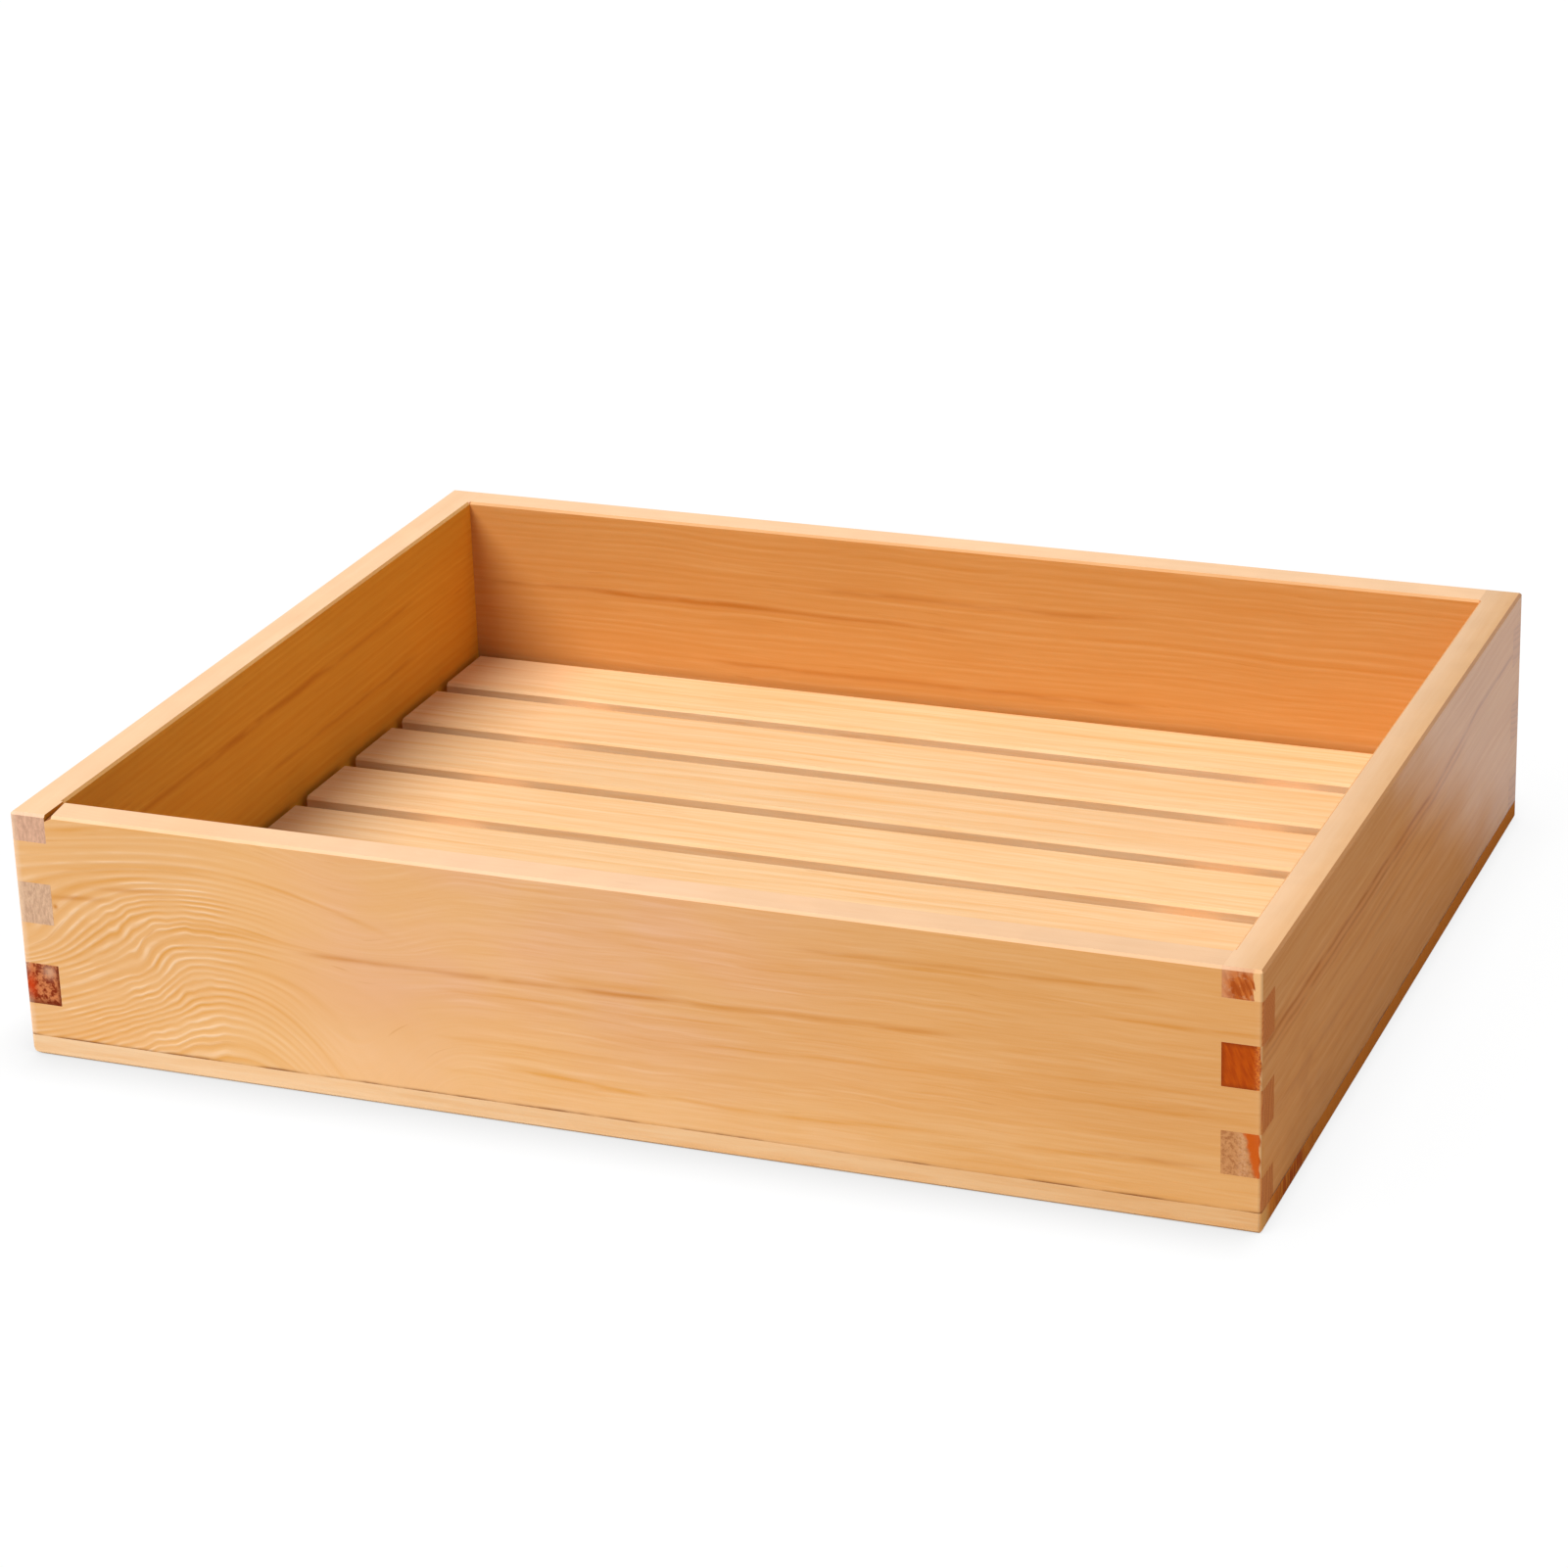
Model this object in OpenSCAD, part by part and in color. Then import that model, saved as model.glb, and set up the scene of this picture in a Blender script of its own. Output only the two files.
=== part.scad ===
// Wooden serving box for sashimi on ice: four boards finger-jointed at the corners, a floor
// panel of glued staves nailed under them, and a slatted drain rack that lifts out.
// Frame: origin on the ground under the middle of the box, +X along the front, +Y to the back.

/* [Box] */
// Outer width of the box, along its front
box_w = 330; // [260:1:420]
// Outer depth of the box, from front to back
box_d = 268; // [200:1:340]
// Outer height of the box, floor panel included
box_h = 68; // [56:1:100]
// Thickness of the four wall boards
wall_t = 10; // [8:0.5:14]
// Thickness of the floor panel under the walls
floor_t = 5.4; // [4:0.1:8]
// Flat that takes the sharpness off the exposed edges of the box
edge_ease = 0.7; // [0.3:0.1:1.2]
// Rounding of the four upright corners of the box
corner_r = 1; // [0.6:0.1:2.5]

/* [Corner joints] */
// Height of one finger of the corner joint
finger_h = 11.4; // [8:0.1:14]
// Height of the lowest finger, which belongs to the front and back boards
first_finger_h = 9.2; // [7:0.1:13]

/* [Floor panel] */
// Number of staves glued edge to edge
stave_n = 6; // [4:1:8]
// Difference in width between one stave and the next, as a share of their mean width
stave_vary_share = 0.1; // [0:0.02:0.2]
// Rounding of the panel's lower edge at its left end
panel_end_r = 3; // [1:0.1:3.8]
// Number of brads under the front board, and under the back board
front_brad_n = 4; // [2:1:6]
// Length of a brad, head included
brad_len = 18; // [14:1:24]
// Radius of a brad's shank
brad_r = 0.6; // [0.4:0.05:1]
// Radius of a brad's head
brad_head_r = 1.1; // [1.05:0.05:1.8]
// Thickness of a brad's head
brad_head_t = 0.6; // [0.4:0.1:1.2]
// Length of a brad's point
brad_point = 1.6; // [1:0.2:3]
// Depth that a brad's head is set below the wood
brad_set = 0.2; // [0.1:0.1:0.6]

/* [Drain rack] */
// Number of slats across the rack
slat_n = 8; // [6:1:10]
// Width of the gap that water runs through between two slats
slat_gap = 6; // [4.5:0.5:9]
// Thickness of a slat
slat_t = 5; // [4:0.5:8]
// Flat along the edges of the slats and battens
slat_ease = 0.8; // [0.3:0.1:1.2]
// Height of the two battens that hold the slats clear of the floor
batten_h = 9.2; // [6:0.1:16]
// Width of a batten
batten_w = 18; // [12:1:26]
// Distance from the end of the slats to the middle of a batten
batten_inset = 46; // [30:1:80]
// Room between the rack and the walls on every side, so that it lifts out
rack_clear = 2; // [1:0.5:4]
// Radius of a bamboo pin
pin_r = 1.2; // [0.8:0.1:1.6]
// Depth that a pin goes into its slat
pin_bite = 3; // [2:0.2:3.4]
// Depth that a pin's foot is set into the underside of the batten
pin_set = 0.3; // [0.1:0.1:0.8]

/* [Hidden] */
// Facets of a round shape
$fn = 48;
// Running of a cutter past the face that it cuts
overrun = 1;
// Room round a brad or a pin in its hole
peg_clear = 0.05;
// Place of the pins in a slat, from its middle, as a share of its width
pin_place_share = 0.25;
// Turn between the widths of neighbouring staves
stave_turn = 137;

// Height of the wall boards above the floor panel
wall_h = box_h - floor_t;
// Levels of fingers in a corner: even ones belong to the front and back, odd ones to the sides
level_n = 1 + max(1, round((wall_h - first_finger_h) / finger_h));
// Width and depth inside the walls
inner_w = box_w - 2 * wall_t;
inner_d = box_d - 2 * wall_t;
// Width and depth over the rack
rack_w = inner_w - 2 * rack_clear;
rack_d = inner_d - 2 * rack_clear;
// Width of a slat, and the step from one slat to the next
slat_w = (rack_d - (slat_n - 1) * slat_gap) / slat_n;
slat_step = slat_w + slat_gap;
// Heights of the underside and of the top of the slats
slat_z = floor_t + batten_h;
rack_top = slat_z + slat_t;
// Distance from the middle of the rack to the middle of a batten
batten_x = rack_w / 2 - batten_inset;
// Distance from the middle of the box to the middle of a wall's thickness
side_mid = (box_w - wall_t) / 2;
front_mid = (box_d - wall_t) / 2;

// Lower and upper end of a level of fingers, above the ground
function level_lo(i) = floor_t + (i == 0 ? 0 : first_finger_h + (i - 1) * finger_h);
function level_hi(i) = i == level_n - 1 ? box_h : level_lo(i + 1);
// Width of stave i before all are brought to the depth of the box, and the sum up to stave i
function stave_raw(i) = 1 + stave_vary_share * sin(stave_turn * i);
function stave_sum(i) = i == 0 ? 0 : stave_sum(i - 1) + stave_raw(i);
// Back edge of stave i, and the middle of its width
function stave_y(i) = box_d * (stave_sum(i) / stave_sum(stave_n) - 1 / 2);
function stave_mid(i) = (stave_y(i - 1) + stave_y(i)) / 2;
// Front edge and middle of slat i
function slat_y(i) = (i - 1) * slat_step - rack_d / 2;
function slat_mid(i) = slat_y(i) + slat_w / 2;

// Where the brads go in: one at each end of every stave, and a row under the front and back
brad_places = concat(
    [for (i = [1:stave_n], s = [-1, 1]) [s * side_mid, stave_mid(i)]],
    [for (i = [1:front_brad_n], s = [-1, 1])
        [box_w * (i / (front_brad_n + 1) - 1 / 2), s * front_mid]]
);
// Where the pins go in: two in each crossing of a slat and a batten
pin_places = [for (i = [1:slat_n], s = [-1, 1], p = [-1, 1])
    [s * batten_x, slat_mid(i) + p * pin_place_share * slat_w]];

STAVES = [for (i = [1:stave_n]) str("floor_stave_", i)];
SLATS = [for (i = [1:slat_n]) str("rack_slat_", i)];

// Rectangle with round corners, its middle on the origin
module rounded_rectangle(w, d, r) {
    square([w - 2 * r, d], center = true);
    square([w, d - 2 * r], center = true);
    for (x = [-1, 1], y = [-1, 1])
        translate([x * (w / 2 - r), y * (d / 2 - r)]) circle(r);
}

// Rectangle with its four corners cut at 45 degrees, centred on X, from y0 to y1
module eased_rectangle(w, y0, y1, ease) {
    polygon([
        [-w / 2 + ease, y0], [w / 2 - ease, y0], [w / 2, y0 + ease], [w / 2, y1 - ease],
        [w / 2 - ease, y1], [-w / 2 + ease, y1], [-w / 2, y1 - ease], [-w / 2, y0 + ease]
    ]);
}

// The whole box as one block with its outer edges eased, which every outside piece is cut to
module outer_form() {
    intersection() {
        linear_extrude(box_h) rounded_rectangle(box_w, box_d, corner_r);
        rotate([90, 0, 0])
            linear_extrude(box_d, center = true)
                eased_rectangle(box_w, 0, box_h, edge_ease);
        rotate([90, 0, 90])
            linear_extrude(box_w, center = true)
                eased_rectangle(box_d, 0, box_h, edge_ease);
    }
}

// Bar that eases an inner top edge: it runs along X at y = 0, with the wood in front of it
module inner_ease_bar(length) {
    translate([0, 0, box_h])
        rotate([90, 0, 90])
            linear_extrude(length, center = true)
                polygon([
                    [-edge_ease, 0], [-edge_ease, overrun], [overrun, overrun],
                    [overrun, -edge_ease - overrun], [0, -edge_ease - overrun], [0, -edge_ease]
                ]);
}

// Holes for the brads, through the floor panel and up into the walls
module brad_holes() {
    for (p = brad_places) translate(p) {
        translate([0, 0, -overrun])
            cylinder(h = brad_set + brad_len + overrun, r = brad_r + peg_clear);
        translate([0, 0, -overrun])
            cylinder(h = brad_set + brad_head_t + peg_clear + overrun, r = brad_head_r + peg_clear);
    }
}

// Front board in its place; the back board is its mirror image
module front_board() {
    color("burlywood")
        difference() {
            intersection() {
                outer_form();
                translate([-box_w / 2, -box_d / 2, floor_t]) cube([box_w, wall_t, wall_h]);
            }
            for (i = [1:2:level_n - 1], s = [0, 1])
                mirror([s, 0, 0])
                    translate([inner_w / 2, -box_d / 2 - overrun, level_lo(i)])
                        cube([
                            wall_t + overrun, wall_t + 2 * overrun,
                            level_hi(i) - level_lo(i) + (i == level_n - 1 ? overrun : 0)
                        ]);
            translate([0, -inner_d / 2, 0]) inner_ease_bar(inner_w);
            brad_holes();
        }
}

// Left board in its place; the right board is its mirror image
module left_board() {
    color("tan")
        difference() {
            intersection() {
                outer_form();
                translate([-box_w / 2, -box_d / 2, floor_t]) cube([wall_t, box_d, wall_h]);
            }
            for (i = [0:2:level_n - 1], s = [0, 1])
                mirror([0, s, 0])
                    translate([
                        -box_w / 2 - overrun, inner_d / 2,
                        level_lo(i) - (i == 0 ? overrun : 0)
                    ])
                        cube([
                            wall_t + 2 * overrun, wall_t + overrun,
                            level_hi(i) - level_lo(i) + (i == 0 ? overrun : 0)
                                + (i == level_n - 1 ? overrun : 0)
                        ]);
            translate([-inner_w / 2, 0, 0]) rotate([0, 0, -90]) inner_ease_bar(inner_d);
            brad_holes();
        }
}

// The whole floor panel as one block, its lower edge rounded at the left end
module panel_form() {
    rotate([90, 0, 0])
        linear_extrude(box_d, center = true) {
            translate([panel_end_r - box_w / 2, 0]) square([box_w - panel_end_r, floor_t]);
            translate([-box_w / 2, panel_end_r]) square([box_w, floor_t - panel_end_r]);
            translate([panel_end_r - box_w / 2, panel_end_r]) circle(panel_end_r);
        }
}

// One stave of the floor panel, its grain along X
module floor_stave(i) {
    color("peru")
        difference() {
            intersection() {
                outer_form();
                panel_form();
                translate([-box_w / 2, stave_y(i - 1), 0])
                    cube([box_w, stave_y(i) - stave_y(i - 1), floor_t]);
            }
            brad_holes();
        }
}

// One brad, head down, its point in the wall
module brad() {
    translate([0, 0, brad_set]) {
        cylinder(h = brad_head_t, r = brad_head_r);
        cylinder(h = brad_len - brad_point, r = brad_r);
        translate([0, 0, brad_len - brad_point])
            cylinder(h = brad_point - peg_clear, r1 = brad_r, r2 = brad_r / 4);
    }
}

module floor_brads() {
    color("silver") for (p = brad_places) translate(p) brad();
}

// Holes for the pins, up through the battens and part of the way into the slats
module pin_holes() {
    for (p = pin_places)
        translate([p.x, p.y, floor_t - overrun])
            cylinder(h = batten_h + pin_bite + peg_clear + overrun, r = pin_r + peg_clear);
}

// One slat of the rack, its grain along X
module rack_slat(i) {
    color("wheat")
        difference() {
            translate([0, slat_mid(i), 0])
                rotate([90, 0, 90])
                    linear_extrude(rack_w, center = true)
                        eased_rectangle(slat_w, slat_z, rack_top, slat_ease);
            pin_holes();
        }
}

// One batten under the slats, its grain along Y; s is -1 on the left and 1 on the right
module rack_batten(s) {
    color("navajowhite")
        difference() {
            translate([s * batten_x, 0, 0])
                rotate([90, 0, 0])
                    linear_extrude(rack_d, center = true)
                        eased_rectangle(batten_w, floor_t, slat_z, slat_ease);
            pin_holes();
        }
}

module rack_pins() {
    color("goldenrod")
        for (p = pin_places)
            translate([p.x, p.y, floor_t + pin_set])
                cylinder(h = batten_h + pin_bite - pin_set, r = pin_r);
}

front_board();  // front_wall
mirror([0, 1, 0]) front_board();  // back_wall
left_board();  // left_wall
mirror([1, 0, 0]) left_board();  // right_wall
for (i = [1:stave_n]) floor_stave(i);
floor_brads();
for (i = [1:slat_n]) rack_slat(i);
rack_batten(-1);  // rack_batten_left
rack_batten(1);  // rack_batten_right
rack_pins();
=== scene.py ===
import math
from collections import namedtuple

import bmesh
import bpy
from mathutils import Matrix, Vector


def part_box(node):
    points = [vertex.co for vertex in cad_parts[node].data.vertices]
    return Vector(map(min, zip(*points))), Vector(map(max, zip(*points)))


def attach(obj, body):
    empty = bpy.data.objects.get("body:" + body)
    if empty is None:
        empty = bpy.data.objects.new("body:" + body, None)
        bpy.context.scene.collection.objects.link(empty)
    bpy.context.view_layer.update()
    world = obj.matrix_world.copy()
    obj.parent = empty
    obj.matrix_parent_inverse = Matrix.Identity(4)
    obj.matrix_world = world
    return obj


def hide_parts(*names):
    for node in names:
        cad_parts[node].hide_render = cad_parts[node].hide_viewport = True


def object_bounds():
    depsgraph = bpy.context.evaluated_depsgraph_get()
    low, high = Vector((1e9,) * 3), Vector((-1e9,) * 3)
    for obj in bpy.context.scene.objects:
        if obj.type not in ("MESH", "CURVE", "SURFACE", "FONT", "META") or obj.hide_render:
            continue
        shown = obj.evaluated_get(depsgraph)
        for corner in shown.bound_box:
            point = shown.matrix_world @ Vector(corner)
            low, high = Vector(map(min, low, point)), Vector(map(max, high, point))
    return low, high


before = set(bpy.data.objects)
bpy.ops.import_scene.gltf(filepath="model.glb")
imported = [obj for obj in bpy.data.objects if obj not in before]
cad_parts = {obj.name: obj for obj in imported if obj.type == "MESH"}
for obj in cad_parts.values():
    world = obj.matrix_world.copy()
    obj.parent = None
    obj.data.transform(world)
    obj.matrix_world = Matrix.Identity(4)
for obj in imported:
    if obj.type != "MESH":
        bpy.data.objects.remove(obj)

bl_info = {
    "name": "Finger-jointed serving box",
    "version": (1, 0, 0),
    "blender": (4, 5, 0),
    "location": "3D View > Sidebar > Serving box",
    "description": "Wooden serving box with a nailed floor and a drain rack that lifts out",
    "category": "Object",
}

MM = 0.001
CAD_BOUNDS = [list(corner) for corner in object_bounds()]
BOX_HIGH = Vector(CAD_BOUNDS[1])
STAVES = sorted(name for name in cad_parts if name.startswith("floor_stave"))
SLATS = sorted(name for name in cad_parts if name.startswith("rack_slat"))
BATTENS = sorted(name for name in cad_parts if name.startswith("rack_batten"))

# Heights of the ends of the corner fingers above the ground, in millimetres
FLOOR_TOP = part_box("front_wall")[0][2] / MM
FIRST_FINGER = 9.2
FINGER = 11.4
FINGER_LEVELS = [FLOOR_TOP] + [FLOOR_TOP + FIRST_FINGER + FINGER * i for i in range(5)]
WALL = (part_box("front_wall")[1][1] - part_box("front_wall")[0][1]) / MM
HALF_W = BOX_HIGH.x / MM
HALF_D = BOX_HIGH.y / MM
HEIGHT = BOX_HIGH.z / MM

# Multiplies the honey of the front face and the floor panel at their right ends: partly a deeper wood,
# partly painted shade where the light falls off to the right
DEEPER_AND_SHADED = (0.86, 0.76, 0.62)

# How a CAD piece is cleaned: what is merged, what counts as flat and which edges get rounded
MERGE_DISTANCE = 0.002 * MM
FLAT_ANGLE = math.radians(1)
SHARP_ANGLE = math.radians(30)


def paint(red, green, blue):
    """A screen colour of 0 to 255 a channel, as the linear colour that shaders take."""
    def linear(channel):
        share = channel / 255
        return share / 12.92 if share <= 0.04045 else ((share + 0.055) / 1.055) ** 2.4
    return (linear(red), linear(green), linear(blue))


def colour_property(name, description, value):
    """A colour that the user may change in the sidebar."""
    return bpy.props.FloatVectorProperty(
        name=name, description=description, subtype="COLOR", size=3, min=0, max=1, default=value
    )


def length_property(name, description, value):
    """A length that the user may change in the sidebar, given in millimetres."""
    return bpy.props.FloatProperty(
        name=name, description=description, subtype="DISTANCE", unit="LENGTH",
        min=0, precision=5, default=value * MM
    )


def number_property(name, description, value):
    """A plain number that the user may change in the sidebar."""
    return bpy.props.FloatProperty(name=name, description=description, min=0, default=value)


class WoodSettings(bpy.types.PropertyGroup):
    """Colours and edges of the softwood boards."""

    honey: colour_property("Honey wood", "Main colour of the planed faces", paint(240, 187, 128))
    cream: colour_property("Cream wood", "Pale ripples between the rings", paint(251, 210, 165))
    amber: colour_property("Amber wood", "Summer wood at the end of each ring", paint(229, 163, 84))
    vein: colour_property("Veins", "Thin resin lines along the grain", paint(208, 134, 50))
    end: colour_property("End grain", "Sawn ends of the boards", paint(222, 158, 112))
    end_dark: colour_property("Dark end grain", "Rings in the sawn ends", paint(188, 112, 70))
    # The top edges get a paler colour than the faces of the boards
    rim: colour_property("Rim", "Scrubbed top edges of the box", paint(250, 214, 180))
    seam: colour_property("Seam", "Glue and shade in the joints", paint(128, 70, 30))
    joint_ease: length_property("Joint edges", "Rounding of edges that meet another piece", 0.16)
    shoulder_gap: length_property("Shoulder gap", "Open wedge at the front left shoulder", 2.0)
    # Painted shade: the inner faces are tinted darker and deeper, the left one most, as it looks away
    # from the lamp
    inner_shade_left: colour_property("Left inner face", "Tint of the damp left inner face", (1.0, 0.80, 0.18))
    inner_shade_other: colour_property("Inner faces", "Tint of the other damp inner faces", (0.79, 0.64, 0.43))
    roughness: number_property("Roughness", "Roughness of the planed faces", 0.62)


class RackSettings(bpy.types.PropertyGroup):
    """Colours of the drain rack and its pins."""

    honey: colour_property("Slat wood", "Main colour of the slats and battens", paint(240, 202, 156))
    bamboo: colour_property("Bamboo", "Split bamboo of the pins", paint(206, 170, 104))
    steel: colour_property("Steel", "Heads of the brads", (0.42, 0.41, 0.4))
    ease: length_property("Slat edges", "Rounding of the edges of slats and battens", 0.3)


class StageSettings(bpy.types.PropertyGroup):
    """Floor, lamps and camera."""

    floor: colour_property("Floor", "Pale floor that light bounces from", (0.55, 0.55, 0.55))
    key: number_property("Key lamp", "Strength of the lamp at the front left", 3.3)
    sky: number_property("Sky", "Strength of the light from all round", 0.3)
    lens: bpy.props.FloatProperty(
        name="Lens", description="Focal length of the camera", subtype="DISTANCE_CAMERA", default=105.18
    )


class Field:
    """A value on a shader socket, which Python's operators add Math nodes to."""

    def __init__(self, shader, socket):
        self.shader = shader
        self.socket = socket

    def math(self, operation, *values):
        return self.shader.node("ShaderNodeMath", dict(enumerate(values)), operation=operation)

    def __add__(self, other):
        return self.math("ADD", self, other)

    def __sub__(self, other):
        return self.math("SUBTRACT", self, other)

    def __rsub__(self, other):
        return self.math("SUBTRACT", other, self)

    def __mul__(self, other):
        return self.math("MULTIPLY", self, other)

    def __truediv__(self, other):
        return self.math("DIVIDE", self, other)

    __radd__ = __add__
    __rmul__ = __mul__

    def over(self, other):
        return self.math("MAXIMUM", self, other)

    def under(self, other):
        return self.math("MINIMUM", self, other)

    def size(self):
        return self.math("ABSOLUTE", self)

    def root(self):
        return self.math("SQRT", self)

    def fraction(self):
        return self.math("FRACT", self)

    def whole(self):
        return self.math("FLOOR", self)

    def hump(self, width):
        """1 where the value is 0, falling off smoothly over width on both sides."""
        share = self / width
        return self.math("EXPONENT", share * share * -1.0)

    def step(self, low, high):
        """0 below low, 1 above high, smooth between; falling where low is above high."""
        lo, hi, first, last = (low, high, 0.0, 1.0) if low < high else (high, low, 1.0, 0.0)
        return self.shader.node(
            "ShaderNodeMapRange",
            {"Value": self, "From Min": lo, "From Max": hi, "To Min": first, "To Max": last},
            interpolation_type="SMOOTHSTEP",
        )


class Shader:
    """The nodes of one material or of the world."""

    def __init__(self, owner):
        self.material = owner
        owner.use_nodes = True
        self.tree = owner.node_tree
        self.surface = self.tree.nodes.get("Principled BSDF")

    @classmethod
    def named(cls, name):
        return cls(bpy.data.materials.new(name))

    def set(self, node, sockets):
        for name, value in sockets.items():
            if isinstance(value, Field):
                self.tree.links.new(value.socket, node.inputs[name])
            else:
                node.inputs[name].default_value = value

    def node(self, kind, sockets, output=0, **settings):
        node = self.tree.nodes.new(kind)
        for name, value in settings.items():
            setattr(node, name, value)
        self.set(node, sockets)
        return Field(self, node.outputs[output])

    def mix(self, factor, first, second, blend="MIX"):
        """Mixes two colours."""
        def full(colour):
            return colour if isinstance(colour, Field) else (*colour, 1.0)
        return self.node(
            "ShaderNodeMix", {0: factor, 6: full(first), 7: full(second)},
            output=2, data_type="RGBA", blend_type=blend,
        )

    def grey(self, value):
        return self.node("ShaderNodeCombineColor", {0: value, 1: value, 2: value})

    def vector(self, x, y, z):
        return self.node("ShaderNodeCombineXYZ", {"X": x, "Y": y, "Z": z})

    def noise(self, x, y, z, detail=2.0, roughness=0.5):
        """Smooth noise of about 0.2 to 0.8 round 0.5."""
        return self.node(
            "ShaderNodeTexNoise",
            {"Vector": self.vector(x, y, z), "Scale": 1.0, "Detail": detail, "Roughness": roughness},
        )

    def chance(self, value):
        """A random number from 0 to 1 for each whole number."""
        return self.node("ShaderNodeTexWhiteNoise", {"W": value}, noise_dimensions="1D")

    def rays(self):
        """Camera rays, mirrored rays, and rays that have passed through something."""
        paths = self.tree.nodes.new("ShaderNodeLightPath")
        names = ("Is Camera Ray", "Is Glossy Ray", "Is Transmission Ray")
        return [Field(self, paths.outputs[name]) for name in names]

    def axes(self):
        """X, Y and Z over the piece, in millimetres, and the way the face looks."""
        place = self.node("ShaderNodeTexCoord", {}, output=3)
        facing = self.node("ShaderNodeTexCoord", {}, output=1)
        split = self.tree.nodes.new("ShaderNodeSeparateXYZ")
        self.tree.links.new(place.socket, split.inputs[0])
        look = self.tree.nodes.new("ShaderNodeSeparateXYZ")
        self.tree.links.new(facing.socket, look.inputs[0])
        return (
            [Field(self, output) * (1 / MM) for output in split.outputs],
            [Field(self, output) for output in look.outputs],
        )


class Grain:
    """How one piece was cut from the tree.

    along, thick and wide number the row's axes that the grain, the thickness and the width
    follow. heart is the place of the tree's middle across thickness and width, in millimetres.
    """

    def __init__(self, along, thick, wide, heart, seed, spacing=2.0, slope=0.0, wave=1.0,
                 contrast=0.5, streaks=1.0, colours=None):
        self.along = along
        self.thick = thick
        self.wide = wide
        self.heart = heart
        self.seed = seed * 13.7
        self.spacing = spacing
        self.slope = slope
        self.wave = wave
        self.contrast = contrast
        self.streaks = streaks
        self.colours = colours or {}


# What a board's figure says of a point: how far its grain is lifted, the share of the lift that
# the fine fibres follow, and the strengths of its rings, pale ripples and fine streaks
Figure = namedtuple("Figure", "lift follow rings ripples streaks")


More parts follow.
